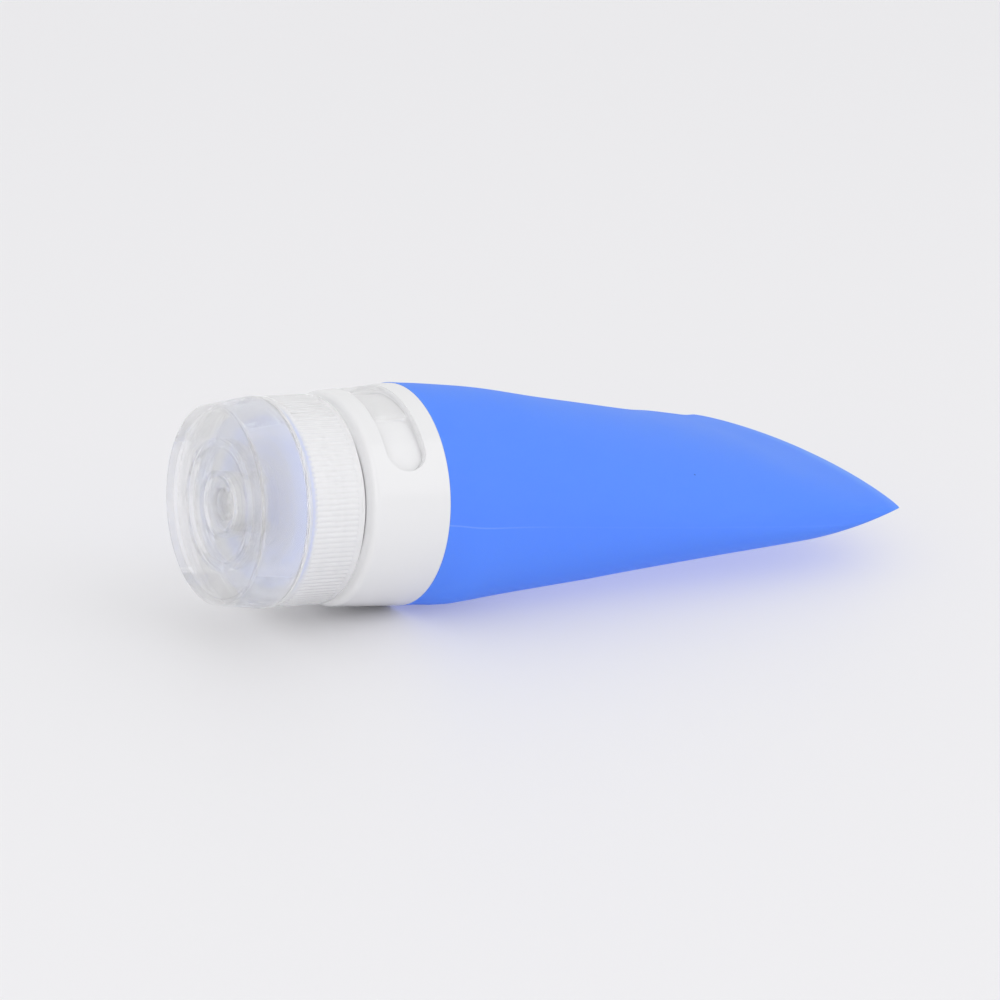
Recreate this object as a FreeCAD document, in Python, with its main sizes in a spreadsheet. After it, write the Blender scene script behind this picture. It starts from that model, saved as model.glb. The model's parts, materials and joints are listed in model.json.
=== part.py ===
import FreeCAD, Part
import Sketcher
import math
import os

# Silicone travel bottle lying on its side.
# Every piece is drawn on the bottle's own axis: local Z runs out through the cap, local X points up,
# local Y points towards the lid's hinge, and zero is the middle of the collar's rear rim.
# One placement tilts them all, so that the collar's rear rim and the tube's belly rest on the ground.
# Lengths are millimetres and angles are degrees.

SIZES = [
    ("tilt_angle", "7", "slope of the bottle's axis, cap end up"),
    ("fit_gap", "0.05", "room around a pressed or running piece"),
    ("turn_gap", "0.2", "room around pieces that turn on each other"),
    ("soft_gap", "0.3", "room between silicone and plastic"),
    ("cut_over", "1", "how far a cutting shape runs past the piece"),
    ("neck_radius", "18", "outside of the threaded neck, at the thread's root"),
    ("neck_wall", "1.7", "wall of the threaded neck"),
    ("flange_height", "1.4", "thickness of the neck's rear flange"),
    ("snap_bead", "0.9", "height of the bead that keeps the collar on the neck"),
    ("snap_width", "1", "width of the snap bead"),
    ("mouth_wall", "3", "wall of the silicone neck"),
    ("lip_inset", "0.6", "edge of the silicone lip to the threaded neck's outside"),
    ("lip_height", "1.2", "thickness of the silicone lip"),
    ("collar_room", "2.9", "threaded neck to the collar's bore"),
    ("collar_wall", "2.1", "wall of the collar at its rear rim"),
    ("collar_taper", "0.95", "how much the collar's radius shrinks to its front"),
    ("collar_length", "17.1", "window collar, front to rear"),
    ("collar_front_wall", "1.8", "front wall of the window collar"),
    ("collar_shoulder", "1.5", "rounding of the collar's front edge"),
    ("rim_round", "0.4", "rounding of the collar's rear edge"),
    ("window_rear", "4.1", "collar's rear rim to the window"),
    ("window_front", "4.2", "window to the collar's front"),
    ("window_angle", "122", "window, around the collar"),
    ("window_end_share", "0.48", "rounding of the window's ends, as a share of its width"),
    ("pane_recess", "0.2", "collar's surface down to the window pane"),
    ("label_wall", "0.9", "wall of the label ring"),
    ("tube_proud", "0.1", "how far the tube stands out past the collar's rear rim"),
    ("collar_gap", "0.3", "tube shoulder to the collar's rear rim"),
    ("tube_length", "106", "tube behind the collar, on its centre line"),
    ("tube_wall", "1.8", "wall of the silicone tube"),
    ("tail_height", "1.6", "thickness of the closed tail edge"),
    ("tail_seal", "4", "solid strip along the tail edge"),
    ("tail_bow", "4.4", "how far the tail's corners lie ahead of its middle"),
    ("tail_sag", "0.9", "sag of the tube's centre line at the tail"),
    ("tail_curl", "3.5", "upward curl of the last part of the tail"),
    ("curl_share", "0.2", "share of the tube that curls up"),
    ("tail_half_width", "38.9", "half the width of the flat tail"),
    ("widening", "1.5", "exponent that widens the tube towards the tail"),
    ("taper_start", "1.03", "exponent that keeps the tube full behind the collar"),
    ("taper_end", "0.63", "exponent that closes the tube at the tail"),
    ("blend_share", "0.06", "share of the tube over which its swellings set in"),
    ("side_swell", "1.6", "swelling of the sides behind the collar"),
    ("side_place", "0.06", "middle of that swelling, as a share of the tube"),
    ("side_spread", "0.08", "its spread, as a share of the tube"),
    ("top_swell", "0.6", "swelling of the upper side behind the collar"),
    ("top_place", "0.2", "middle of that swelling, as a share of the tube"),
    ("tail_swell", "0.4", "swelling of the upper side before the tail"),
    ("tail_place", "0.8", "middle of that swelling, as a share of the tube"),
    ("swell_spread", "0.12", "spread of the two upper swellings, as a share of the tube"),
    ("under_fullness", "0.34", "how much squarer than an ellipse the underside is where it lies"),
    ("under_place", "0.05", "where the underside is squarest, as a share of the tube"),
    ("under_spread", "0.35", "spread of that squareness, as a share of the tube"),
    ("upper_fullness", "0.35", "how much squarer than an ellipse the upper side is before the tail"),
    ("upper_spread", "0.15", "spread of that squareness, as a share of the tube"),
    ("cap_gap", "1.8", "collar's front to the screw cap's skirt"),
    ("skirt_length", "12.5", "screw cap, skirt and deck"),
    ("thread_room", "1.4", "threaded neck to the skirt's bore, where the threads mesh"),
    ("skirt_wall", "2", "wall of the screw cap's skirt"),
    ("skirt_round", "0.4", "rounding of the skirt's rear edge"),
    ("deck_height", "1.3", "thickness of the screw cap's deck"),
    ("rib_count", "108", "grooves between the grip ribs"),
    ("rib_free_angle", "36", "plain part of the skirt at the hinge"),
    ("rib_depth", "0.3", "depth of the grooves between the ribs"),
    ("rib_margin", "1.4", "plain band at each end of the ribs"),
    ("groove_share", "0.8", "share of the ribs' pitch that each groove takes"),
    ("plug_wall", "0.8", "sealing plug under the deck"),
    ("plug_length", "2.2", "sealing plug, below the deck"),
    ("nozzle_length", "7.3", "nozzle above the deck"),
    ("nozzle_bore", "3.4", "orifice of the nozzle"),
    ("nozzle_wall", "1.7", "wall of the nozzle around the orifice"),
    ("nozzle_flare", "1.5", "how much the nozzle widens down to the deck"),
    ("orifice_length", "2.4", "orifice, along the axis"),
    ("seat_step", "0.9", "step from the orifice out to the valve's seat"),
    ("valve_flange", "0.9", "thickness of the valve's rim"),
    ("valve_dome", "1.5", "height of the valve's dome"),
    ("valve_skin", "0.6", "thickness of the valve's dome"),
    ("slit_length", "3.6", "cross slit in the valve"),
    ("slit_width", "0.2", "opening of the valve's slit"),
    ("retainer_length", "3.2", "ring that holds the valve in the nozzle"),
    ("retainer_wall", "1.1", "wall of the retaining ring"),
    ("lid_gap", "0.3", "screw cap's deck to the closed lid"),
    ("lid_length", "10.15", "lid, front to rear rim"),
    ("lid_overhang", "0.15", "how far the lid's rear rim stands out past the skirt"),
    ("lid_taper", "1.25", "how much the lid's radius shrinks to its front"),
    ("lid_wall", "1.3", "side wall of the lid"),
    ("lid_plate", "1.7", "front plate of the lid"),
    ("lid_round", "0.3", "rounding of the front plate's edge"),
    ("ring_inset", "7", "lid's front edge to the outer ring under its plate"),
    ("ring_wall", "1.5", "wall of the outer ring"),
    ("ring_length", "3", "outer ring, below the plate"),
    ("nozzle_ring_gap", "0.7", "nozzle tip to the ring that closes over it"),
    ("nozzle_ring_wall", "1", "wall of the nozzle ring"),
    ("nozzle_ring_length", "2.5", "nozzle ring, below the plate"),
    ("hinge_reach", "0.8", "skirt's outside to the hinge pin"),
    ("hinge_drop", "1.9", "deck face down to the hinge pin"),
    ("hinge_radius", "1.7", "knuckle of the lid"),
    ("hinge_width", "9.4", "knuckle, along the pin"),
    ("arm_root", "0.8", "how far the lid's arm reaches into its wall"),
    ("notch_gap", "0.3", "room around the knuckle in the skirt"),
    ("ear_gap", "0.2", "knuckle to each ear"),
    ("ear_width", "2.2", "ear, along the pin"),
    ("ear_root", "1.9", "how far the ears reach into the skirt's wall"),
    ("pin_radius", "0.9", "stub pins of the ears"),
    ("pin_length", "1.6", "stub pins, into the knuckle"),
    ("pin_play", "0.05", "room around the stub pins"),
]

# Radii worked out from the sizes above, from the silicone neck outwards
NECK_BORE = "({neck_radius} - {neck_wall})"
MOUTH_OUTSIDE = "(" + NECK_BORE + " - {soft_gap})"
MOUTH_RADIUS = "(" + MOUTH_OUTSIDE + " - {mouth_wall})"
PLUG_RADIUS = "(" + MOUTH_RADIUS + " - {soft_gap})"
LIP_RADIUS = "({neck_radius} - {lip_inset})"
COLLAR_BORE = "({neck_radius} + {collar_room})"
COLLAR_RADIUS = "(" + COLLAR_BORE + " + {collar_wall})"
COLLAR_FRONT_RADIUS = "(" + COLLAR_RADIUS + " - {collar_taper})"
TUBE_RADIUS = "(" + COLLAR_RADIUS + " + {tube_proud})"
SKIRT_BORE = "({neck_radius} + {thread_room})"
SKIRT_RADIUS = "(" + SKIRT_BORE + " + {skirt_wall})"
LID_REAR_RADIUS = "(" + SKIRT_RADIUS + " + {lid_overhang})"
LID_FRONT_RADIUS = "(" + LID_REAR_RADIUS + " - {lid_taper})"
RING_RADIUS = "(" + LID_FRONT_RADIUS + " - {ring_inset})"
HINGE_OFFSET = "(" + SKIRT_RADIUS + " + {hinge_reach})"
NOZZLE_RADIUS = "({nozzle_bore} + {nozzle_wall})"
NOZZLE_FOOT = "(" + NOZZLE_RADIUS + " + {nozzle_flare})"
NOZZLE_RING_BORE = "(" + NOZZLE_RADIUS + " + {nozzle_ring_gap})"
VALVE_SEAT = "({nozzle_bore} + {seat_step})"

# Places along the axis, from the collar's rear rim forwards
FLANGE_FRONT = "({turn_gap} + {flange_height})"
WINDOW_TOP = "({collar_length} - {window_front})"
WINDOW_CORNER = "((" + WINDOW_TOP + " - {window_rear}) * {window_end_share})"
COLLAR_INSIDE = "({collar_length} - {collar_front_wall})"
SKIRT_BACK = "({collar_length} + {cap_gap})"
DECK_FACE = "(" + SKIRT_BACK + " + {skirt_length})"
DECK_UNDER = "(" + DECK_FACE + " - {deck_height})"
HINGE_HEIGHT = "(" + DECK_FACE + " - {hinge_drop})"
LIP_FACE = "(" + DECK_UNDER + " - {soft_gap})"
NECK_FRONT = "(" + LIP_FACE + " - {lip_height} - {soft_gap})"
NOZZLE_TOP = "(" + DECK_FACE + " + {nozzle_length})"
SEAT_FACE = "(" + NOZZLE_TOP + " - {orifice_length})"
LID_BACK = "(" + DECK_FACE + " + {lid_gap})"
LID_FRONT = "(" + LID_BACK + " + {lid_length})"
PLATE_UNDER = "(" + LID_FRONT + " - {lid_plate})"

# Sections of the tube's form, as shares of its length, and the points on each half of a section
STATIONS = (0, 0.02, 0.045, 0.08, 0.13, 0.2, 0.28, 0.37, 0.46, 0.56, 0.66, 0.75, 0.83, 0.89, 0.94, 0.98, 1)
SECTION_POINTS = 19

# A point part way round a pin, across and along, as shares of the radius
EASE_ACROSS = "0.6"
EASE_ALONG = "0.8"

# Places closer than this are the same
NEAR = 0.01

doc = FreeCAD.newDocument("travel_bottle")
sizes = doc.addObject("Spreadsheet::Sheet", "Sizes")


def fill_sheet():
    """Write each driving size with its alias and what it measures."""
    for row, (alias, number, meaning) in enumerate(SIZES, start=1):
        sizes.set(f"A{row}", alias)
        sizes.set(f"B{row}", number)
        sizes.set(f"C{row}", meaning)
        sizes.setAlias(f"B{row}", alias)
    doc.recompute()


def link(text):
    """Turn {alias} into a reference to its cell."""
    return text.format(**{alias: f"Sizes.{alias}" for alias, _, _ in SIZES})


def size(text):
    """Value of an expression in the aliases."""
    return float(sizes.evalExpression(link(text)))


def origin_plane(body, role):
    return [item for item in body.Origin.OriginFeatures if item.Role == role][0]


def new_sketch(body, name, role, height="0"):
    """Empty sketch on one of the body's own origin planes, raised along its normal."""
    sketch = body.newObject("Sketcher::SketchObject", name)
    sketch.AttachmentSupport = (origin_plane(body, role), [""])
    sketch.MapMode = "FlatFace"
    if height != "0":
        sketch.setExpression("AttachmentOffset.Base.z", link(height))
    return sketch


def pin_point(sketch, geometry, point, across, along):
    """Tie one point of a sketch to the origin by two expressions."""
    for kind, axis, text in (("DistanceX", -2, across), ("DistanceY", -1, along)):
        if text == "0":
            sketch.addConstraint(Sketcher.Constraint("PointOnObject", geometry, point, axis))
        else:
            index = sketch.addConstraint(Sketcher.Constraint(kind, -1, 1, geometry, point, size(text)))
            sketch.setExpression(f"Constraints[{index}]", link(text))


def add_outline(sketch, corners):
    """Closed outline of straight edges through corners given as expressions."""
    spots = [FreeCAD.Vector(size(across), size(along), 0) for across, along in corners]
    count = len(spots)
    first = sketch.GeometryCount
    for step in range(count):
        sketch.addGeometry(Part.LineSegment(spots[step], spots[(step + 1) % count]), False)
    for step in range(count):
        following = first + (step + 1) % count
        sketch.addConstraint(Sketcher.Constraint("Coincident", first + step, 2, following, 1))
    for step, (across, along) in enumerate(corners):
        pin_point(sketch, first + step, 1, across, along)


def add_circle(sketch, across, along, radius):
    centre = FreeCAD.Vector(size(across), size(along), 0)
    circle = sketch.addGeometry(Part.Circle(centre, FreeCAD.Vector(0, 0, 1), size(radius)), False)
    pin_point(sketch, circle, 3, across, along)
    index = sketch.addConstraint(Sketcher.Constraint("Radius", circle, size(radius)))
    sketch.setExpression(f"Constraints[{index}]", link(radius))


def new_body(name):
    return doc.addObject("PartDesign::Body", name)


def turned(body, name, corners, cut=False):
    """Profile in the axial plane, turned about the bottle's axis."""
    sketch = new_sketch(body, f"{name}_profile", "XZ_Plane")
    add_outline(sketch, corners)
    feature = body.newObject("PartDesign::Groove" if cut else "PartDesign::Revolution", name)
    feature.Profile = sketch
    feature.ReferenceAxis = (sketch, ["V_Axis"])
    feature.Angle = 360
    doc.recompute()
    return feature


def padded(body, name, sketch, length):
    """Pad to both sides of the sketch."""
    feature = body.newObject("PartDesign::Pad", name)
    feature.Profile = sketch
    feature.SideType = "Symmetric"
    feature.setExpression("Length", link(length))
    doc.recompute()
    return feature


def pocketed(body, name, sketch, length, symmetric=True):
    """Pocket to both sides of the sketch, or along its normal."""
    before = body.Shape.Volume
    feature = body.newObject("PartDesign::Pocket", name)
    feature.Profile = sketch
    feature.SideType = "Symmetric" if symmetric else "One side"
    feature.Reversed = not symmetric
    feature.setExpression("Length", link(length))
    doc.recompute()
    if feature.Shape.Volume >= before:
        raise ValueError(f"{name} cuts nothing")
    return feature


def ring_edges(shape, radius, height):
    """Names of the whole circular edges of one radius at one height."""
    names = []
    for index, edge in enumerate(shape.Edges, start=1):
        curve = edge.Curve
        if isinstance(curve, Part.Circle) and abs(curve.Radius - radius) < NEAR:
            if abs(curve.Center.z - height) < NEAR and abs(curve.Center.x) < NEAR:
                names.append(f"Edge{index}")
    return names


def rounded(body, name, edges, radius):
    """Fillet of named edges of the body's last feature."""
    base = body.Tip
    feature = body.newObject("PartDesign::Fillet", name)
    feature.Base = (base, edges)
    feature.setExpression("Radius", link(radius))
    doc.recompute()
    return feature


def radial_edges(shape, radius):
    """Names of the straight edges that point away from the axis, outside this radius."""
    names = []
    for index, edge in enumerate(shape.Edges, start=1):
        middle = edge.CenterOfMass
        if isinstance(edge.Curve, Part.Line) and math.hypot(middle.x, middle.y) > radius:
            if abs(edge.tangentAt(edge.FirstParameter).z) < NEAR:
                names.append(f"Edge{index}")
    return names


def swept_sector(body, kind, name, corners, angle):
    """Profile turned part of the way round the axis, to both sides of the bottle's top."""
    sketch = new_sketch(body, f"{name}_profile", "XZ_Plane")
    add_outline(sketch, corners)
    feature = body.newObject(kind, name)
    feature.Profile = sketch
    feature.ReferenceAxis = (sketch, ["V_Axis"])
    feature.Midplane = True
    feature.setExpression("Angle", link(angle))
    doc.recompute()
    return feature


def build_window_collar():
    """White collar that turns on the neck, with one long window around its top."""
    body = new_body("window_collar")
    turned(body, "collar_shell", [
        (COLLAR_BORE, "0"),
        (COLLAR_RADIUS, "0"),
        (COLLAR_FRONT_RADIUS, "{collar_length}"),
        ("{neck_radius} + {turn_gap}", "{collar_length}"),
        ("{neck_radius} + {turn_gap}", COLLAR_INSIDE),
        (COLLAR_BORE, COLLAR_INSIDE),
    ])
    front = ring_edges(body.Shape, size(COLLAR_FRONT_RADIUS), size("{collar_length}"))
    rounded(body, "shoulder", front, "{collar_shoulder}")
    rear = ring_edges(body.Shape, size(COLLAR_RADIUS), 0)
    rounded(body, "rear_edge", rear, "{rim_round}")
    inside = COLLAR_BORE + " - {cut_over}"
    outside = COLLAR_RADIUS + " + {cut_over}"
    window = swept_sector(body, "PartDesign::Groove", "window", [
        (inside, "{window_rear}"),
        (outside, "{window_rear}"),
        (outside, WINDOW_TOP),
        (inside, WINDOW_TOP),
    ], "{window_angle}")
    rounded(body, "window_ends", radial_edges(window.Shape, size(COLLAR_BORE)), WINDOW_CORNER)
    return body


def build_window_pane():
    """Clear pane that fills the collar's window, a little below its surface."""
    body = new_body("window_pane")
    rear = "({window_rear} + {fit_gap})"
    front = "(" + WINDOW_TOP + " - {fit_gap})"
    face = COLLAR_RADIUS + " - {pane_recess} - {collar_taper} / {collar_length} * "
    pane = swept_sector(body, "PartDesign::Revolution", "pane_wall", [
        (COLLAR_BORE, rear),
        (face + rear, rear),
        (face + front, front),
        (COLLAR_BORE, front),
    ], "{window_angle} - 2 * {fit_gap} / " + COLLAR_RADIUS + " * 180 / pi")
    rounded(body, "pane_ends", radial_edges(pane.Shape, size(COLLAR_BORE)), WINDOW_CORNER + " - {fit_gap}")
    return body


def build_threaded_neck():
    """Hard neck around the silicone neck, with a rear flange and a snap bead for the collar."""
    body = new_body("threaded_neck")
    turned(body, "neck_wall", [
        (NECK_BORE, "{turn_gap}"),
        (COLLAR_BORE + " - {soft_gap}", "{turn_gap}"),
        (COLLAR_BORE + " - {soft_gap}", FLANGE_FRONT),
        ("{neck_radius}", FLANGE_FRONT),
        ("{neck_radius}", "{collar_length} + {turn_gap}"),
        ("{neck_radius} + {snap_bead}", "{collar_length} + {turn_gap}"),
        ("{neck_radius}", "{collar_length} + {turn_gap} + {snap_width}"),
        ("{neck_radius}", NECK_FRONT),
        (NECK_BORE, NECK_FRONT),
    ])
    return body


def build_label_ring():
    """Bare ring behind the window, centred on the neck by a flange at each end."""
    body = new_body("label_ring")
    outer = "(" + COLLAR_BORE + " - {turn_gap})"
    inner = "(" + COLLAR_BORE + " - {turn_gap} - {label_wall})"
    back = "({turn_gap} + {flange_height} + {fit_gap})"
    front = "({collar_length} - {collar_front_wall} - {turn_gap})"
    turned(body, "label_wall_ring", [
        ("{neck_radius} + {fit_gap}", back),
        (outer, back),
        (outer, front),
        ("{neck_radius} + {fit_gap}", front),
        ("{neck_radius} + {fit_gap}", front + " - {label_wall}"),
        (inner, front + " - {label_wall}"),
        (inner, back + " + {label_wall}"),
        ("{neck_radius} + {fit_gap}", back + " + {label_wall}"),
    ])
    return body


def build_screw_cap():
    """Cap with a ribbed skirt, a deck with the nozzle, a plug below it and two hinge ears."""
    body = new_body("screw_cap")
    turned(body, "cap_shell", [
        (SKIRT_BORE, SKIRT_BACK),
        (SKIRT_RADIUS, SKIRT_BACK),
        (SKIRT_RADIUS, DECK_FACE),
        (NOZZLE_FOOT, DECK_FACE),
        (NOZZLE_RADIUS, NOZZLE_TOP),
        ("{nozzle_bore}", NOZZLE_TOP),
        ("{nozzle_bore}", SEAT_FACE),
        (VALVE_SEAT, SEAT_FACE),
        (VALVE_SEAT, DECK_UNDER),
        (PLUG_RADIUS + " - {plug_wall}", DECK_UNDER),
        (PLUG_RADIUS + " - {plug_wall}", DECK_UNDER + " - {plug_length}"),
        (PLUG_RADIUS, DECK_UNDER + " - {plug_length}"),
        (PLUG_RADIUS, DECK_UNDER),
        (SKIRT_BORE, DECK_UNDER),
    ])
    rear = ring_edges(body.Shape, size(SKIRT_RADIUS), size(SKIRT_BACK))
    rounded(body, "skirt_edge", rear, "{skirt_round}")
    build_ears(body)
    build_ribs(body)
    return body


def build_ears(body):
    """Two ears on the skirt, with stub pins that point at each other across the knuckle's room."""
    room = "({hinge_width} + 2 * {ear_gap})"
    reach = "({hinge_radius} + {notch_gap})"
    ease_across = " + {hinge_radius} * " + EASE_ACROSS
    sketch = new_sketch(body, "ear_profile", "YZ_Plane")
    add_outline(sketch, [
        (SKIRT_RADIUS + " - {ear_root}", DECK_FACE),
        (SKIRT_RADIUS + " - {ear_root}", HINGE_HEIGHT + " - 2 * {hinge_radius}"),
        (HINGE_OFFSET + ease_across, HINGE_HEIGHT + " - {hinge_radius} * " + EASE_ALONG),
        (HINGE_OFFSET + " + {hinge_radius}", HINGE_HEIGHT),
        (HINGE_OFFSET + ease_across, HINGE_HEIGHT + " + {hinge_radius} * " + EASE_ALONG),
        (HINGE_OFFSET, DECK_FACE),
    ])
    padded(body, "ears", sketch, room + " + 2 * {ear_width}")
    sketch = new_sketch(body, "room_profile", "YZ_Plane")
    add_outline(sketch, [
        (HINGE_OFFSET + " - " + reach, HINGE_HEIGHT + " - " + reach),
        (HINGE_OFFSET + " + 2 * {hinge_radius}", HINGE_HEIGHT + " - " + reach),
        (HINGE_OFFSET + " + 2 * {hinge_radius}", DECK_FACE + " + {cut_over}"),
        (HINGE_OFFSET + " - " + reach, DECK_FACE + " + {cut_over}"),
    ])
    add_circle(sketch, HINGE_OFFSET, HINGE_HEIGHT, "{pin_radius}")
    pocketed(body, "knuckle_room", sketch, room)
    sketch = new_sketch(body, "pin_gap_profile", "YZ_Plane")
    add_circle(sketch, HINGE_OFFSET, HINGE_HEIGHT, "({pin_radius} + {notch_gap})")
    pocketed(body, "pin_gap", sketch, room + " - 2 * {pin_length}")


def build_ribs(body):
    """Upright grooves around the skirt, all but at the hinge, leave the grip ribs between them."""
    sketch = new_sketch(body, "groove_profile", "XY_Plane", SKIRT_BACK + " + {rib_margin}")
    sketch.AttachmentOffset = FreeCAD.Placement(sketch.AttachmentOffset.Base,
                                                FreeCAD.Rotation(FreeCAD.Vector(0, 0, 1), 90))
    sketch.setExpression("AttachmentOffset.Rotation.Angle", link("90 + {rib_free_angle} / 2"))
    half_pitch = "(" + SKIRT_RADIUS + " * tan(180 / {rib_count}) * {groove_share})"
    add_outline(sketch, [
        (SKIRT_RADIUS + " - {rib_depth}", "0"),
        (SKIRT_RADIUS + " + {rib_depth}", half_pitch),
        (SKIRT_RADIUS + " + {rib_depth}", "-" + half_pitch),
    ])
    groove = pocketed(body, "rib_groove", sketch, "{skirt_length} - 2 * {rib_margin}", symmetric=False)
    pattern = body.newObject("PartDesign::PolarPattern", "grip_ribs")
    pattern.Originals = [groove]
    pattern.Axis = (sketch, ["N_Axis"])
    pattern.setExpression("Angle", link("360 - {rib_free_angle}"))
    pattern.setExpression("Occurrences", link("{rib_count}"))
    body.Tip = pattern
    doc.recompute()


def build_slit_valve():
    """Thin silicone dome with a cross slit, held by its rim."""
    body = new_body("slit_valve")
    rim_back = SEAT_FACE + " - {fit_gap} - {valve_flange}"
    crown = "({nozzle_bore} - {soft_gap})"
    turned(body, "valve_dome_wall", [
        ("0", SEAT_FACE + " + {valve_dome} - {valve_skin}"),
        (crown + " - {valve_skin}", rim_back + " + {valve_skin}"),
        (crown + " - {valve_skin}", rim_back),
        (VALVE_SEAT + " - {fit_gap}", rim_back),
        (VALVE_SEAT + " - {fit_gap}", SEAT_FACE + " - {fit_gap}"),
        (crown, SEAT_FACE + " - {fit_gap}"),
        (crown, SEAT_FACE + " + {valve_skin}"),
        ("0", SEAT_FACE + " + {valve_dome}"),
    ])
    sketch = new_sketch(body, "slit_profile", "XY_Plane", SEAT_FACE + " - {valve_flange}")
    half, gap = "{slit_length} / 2", "{slit_width} / 2"
    add_outline(sketch, [
        (half, gap), (gap, gap), (gap, half), ("-" + gap, half), ("-" + gap, gap), ("-" + half, gap),
        ("-" + half, "-" + gap), ("-" + gap, "-" + gap), ("-" + gap, "-" + half),
        (gap, "-" + half), (gap, "-" + gap), (half, "-" + gap),
    ])
    pocketed(body, "cross_slit", sketch, "{valve_flange} + {valve_dome} + {cut_over}", symmetric=False)
    return body


def build_valve_retainer():
    """Ring pressed into the nozzle from behind, with a chamfered mouth."""
    body = new_body("valve_retainer")
    front = SEAT_FACE + " - 2 * {fit_gap} - {valve_flange}"
    outer = "(" + VALVE_SEAT + " - {fit_gap})"
    turned(body, "retainer_wall_ring", [
        (outer + " - {retainer_wall}", front + " - {retainer_length}"),
        (outer + " - {retainer_wall} / 2", front + " - {retainer_length}"),
        (outer, front + " - {retainer_length} + {retainer_wall} / 2"),
        (outer, front),
        (outer + " - {retainer_wall}", front),
    ])
    return body


def build_flip_lid():
    """Clear lid: flared wall, front plate, two rings under the plate and the hinge knuckle."""
    body = new_body("flip_lid")
    ring_end = PLATE_UNDER + " - {ring_length}"
    nozzle_ring_end = PLATE_UNDER + " - {nozzle_ring_length}"
    turned(body, "lid_shell", [
        ("0", LID_FRONT),
        ("0", PLATE_UNDER),
        (NOZZLE_RING_BORE, PLATE_UNDER),
        (NOZZLE_RING_BORE, nozzle_ring_end),
        (NOZZLE_RING_BORE + " + {nozzle_ring_wall}", nozzle_ring_end),
        (NOZZLE_RING_BORE + " + {nozzle_ring_wall}", PLATE_UNDER),
        (RING_RADIUS + " - {ring_wall}", PLATE_UNDER),
        (RING_RADIUS + " - {ring_wall}", ring_end),
        (RING_RADIUS, ring_end),
        (RING_RADIUS, PLATE_UNDER),
        (LID_FRONT_RADIUS + " - {lid_wall}", PLATE_UNDER),
        (LID_REAR_RADIUS + " - {lid_wall}", LID_BACK),
        (LID_REAR_RADIUS, LID_BACK),
        (LID_FRONT_RADIUS, LID_FRONT),
    ])
    front = ring_edges(body.Shape, size(LID_FRONT_RADIUS), size(LID_FRONT))
    rounded(body, "plate_edge", front, "{lid_round}")
    sketch = new_sketch(body, "arm_profile", "YZ_Plane")
    add_outline(sketch, [
        (LID_REAR_RADIUS + " - {arm_root}", LID_BACK),
        (LID_REAR_RADIUS + " - {arm_root}", LID_BACK + " + 2 * {hinge_radius}"),
        (HINGE_OFFSET + " + {hinge_radius}", HINGE_HEIGHT + " + {hinge_radius}"),
        (HINGE_OFFSET + " + {hinge_radius}", HINGE_HEIGHT),
        (HINGE_OFFSET + " - {hinge_radius}", HINGE_HEIGHT),
        (HINGE_OFFSET + " - {hinge_radius}", LID_BACK),
    ])
    padded(body, "arm", sketch, "{hinge_width}")
    sketch = new_sketch(body, "knuckle_profile", "YZ_Plane")
    add_circle(sketch, HINGE_OFFSET, HINGE_HEIGHT, "{hinge_radius}")
    padded(body, "knuckle", sketch, "{hinge_width}")
    sketch = new_sketch(body, "socket_profile", "YZ_Plane")
    add_circle(sketch, HINGE_OFFSET, HINGE_HEIGHT, "{pin_radius} + {pin_play}")
    pocketed(body, "pin_socket", sketch, "{hinge_width} + {cut_over}")
    return body


def bump(share, place, spread):
    """Soft bump along the tube: one at its place, and nought far from it."""
    return math.exp(-((share - size(place)) / size(spread)) ** 2)


def tube_height(share, inset, end_height):
    """Middle of the tube to its upper side."""
    closing = (1 - share ** size("{taper_start}")) ** size("{taper_end}")
    height = (size(TUBE_RADIUS) - inset) * closing + end_height / 2 * share
    height += blend(share) * size("{top_swell}") * bump(share, "{top_place}", "{swell_spread}")
    return height + size("{tail_swell}") * bump(share, "{tail_place}", "{swell_spread}") * closing


def tube_width(share, inset):
    """Middle of the tube to its side."""
    opening = 1 - (1 - share) ** size("{widening}")
    width = size(TUBE_RADIUS) - inset + (size("{tail_half_width}") - size(TUBE_RADIUS)) * opening
    return width + blend(share) * size("{side_swell}") * bump(share, "{side_place}", "{side_spread}")


def blend(share):
    """Rises smoothly from nought at the collar to one."""
    part = min(1, share / size("{blend_share}"))
    return part * part * (3 - 2 * part)


def tube_section(share, inset, end_height, length):
    """Closed section of the tube, upper half and lower half, at this share of the way to the tail.

    Each section is an ellipse that gets wider and flatter towards the tail. Its lower half is
    flatter still and squarer where the ground holds it up, and its upper half is squarer before the tail.
    """
    height = tube_height(share, inset, end_height)
    width = tube_width(share, inset)
    back = share * length
    curl = max(0, (back / size("{tube_length}") - 1) / size("{curl_share}") + 1) ** 2
    drop = size("{tail_sag}") * back / size("{tube_length}") - size("{tail_curl}") * curl
    slope = math.tan(math.radians(size("{tilt_angle}")))
    ground = size(COLLAR_RADIUS) - back * slope - drop - inset
    low_height = min(height, max(ground, end_height / 2))
    upper_power = 1 - size("{upper_fullness}") * bump(share, "{tail_place}", "{upper_spread}")
    lower_power = 1 - blend(share) * size("{under_fullness}") * bump(share, "{under_place}", "{under_spread}")
    edges = []
    for reach, power, start in ((height, upper_power, 0), (-low_height, lower_power, math.pi)):
        spots = []
        for step in range(SECTION_POINTS):
            angle = math.pi * step / (SECTION_POINTS - 1)
            side = math.cos(start + angle)
            bow = size("{tail_bow}") * side ** 2 * share
            rise = reach * max(0, math.sin(angle)) ** power
            spots.append(FreeCAD.Vector(rise - drop, width * side, bow - back))
        curve = Part.BSplineCurve()
        curve.interpolate(spots)
        edges.append(curve.toShape())
    return Part.Wire(edges)


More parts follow.
